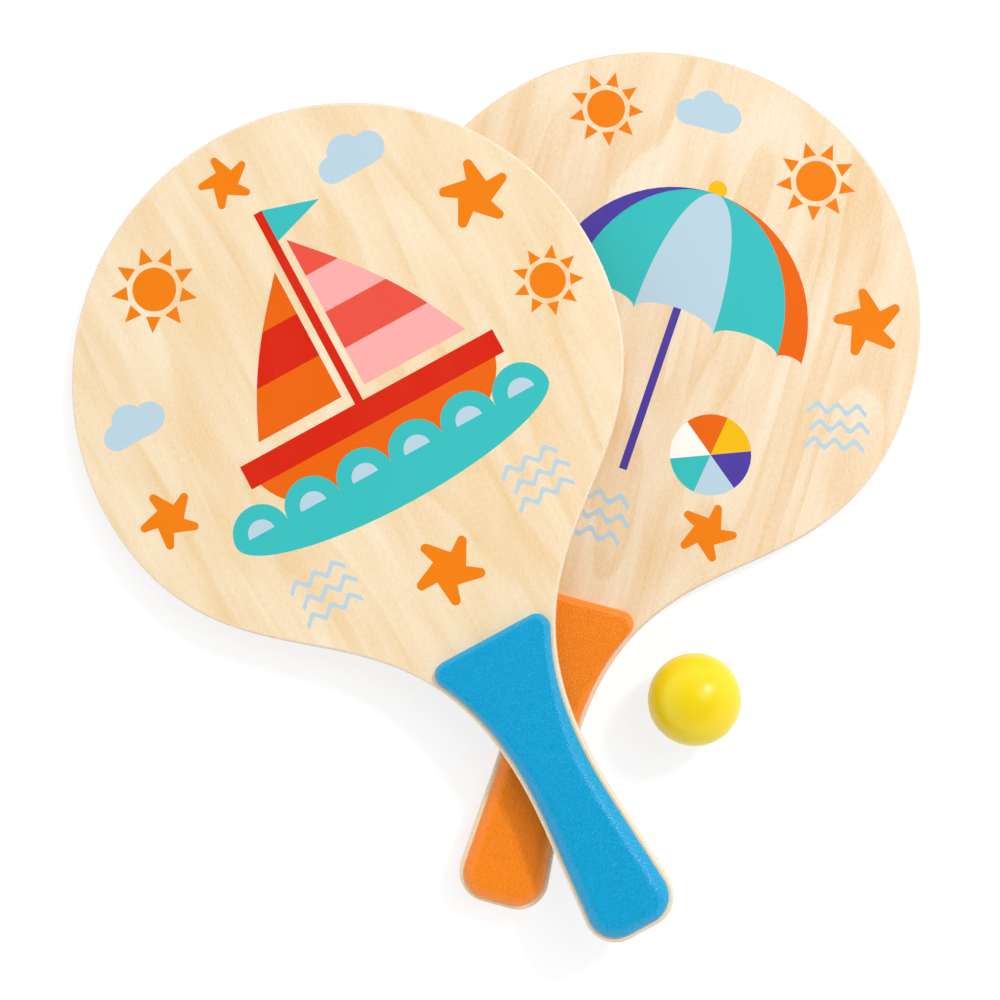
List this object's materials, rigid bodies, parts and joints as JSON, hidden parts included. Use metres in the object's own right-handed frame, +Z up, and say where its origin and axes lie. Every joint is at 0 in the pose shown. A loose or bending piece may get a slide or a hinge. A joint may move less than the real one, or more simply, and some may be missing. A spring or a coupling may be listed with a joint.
{
  "type": "beach paddle ball set",
  "caption": "Round wooden beach paddles with flared handles and soft moulded grips, crossed as put down, with a small smooth ball beside them.",
  "frame": {"origin": "middle of the set's outer box, on the ground it lies on", "axes": "+Z up from the ground; seen from above, +Y is away from the viewer, towards the blades, and +X is to the right, towards the orange paddle's blade"},
  "size_m": [0.3704, 0.3832, 0.0442],
  "materials": {
    "birch_plywood": "clear matt lacquer over pale rotary-cut veneer",
    "warm_plywood": "clear matt lacquer over slightly warmer rotary-cut veneer",
    "blue_grip": "soft, satin, fine pebble grain",
    "orange_grip": "soft, satin, fine pebble grain",
    "yellow_ball": "smooth, semi-gloss"
  },
  "bodies": {
    "root": {"blue_paddle_board": "birch_plywood", "blue_paddle_top_grip": "blue_grip", "blue_paddle_bottom_grip": "blue_grip", "orange_paddle_board": "warm_plywood", "orange_paddle_top_grip": "orange_grip", "orange_paddle_bottom_grip": "orange_grip", "ball": "yellow_ball"}
  },
  "joints": []
}
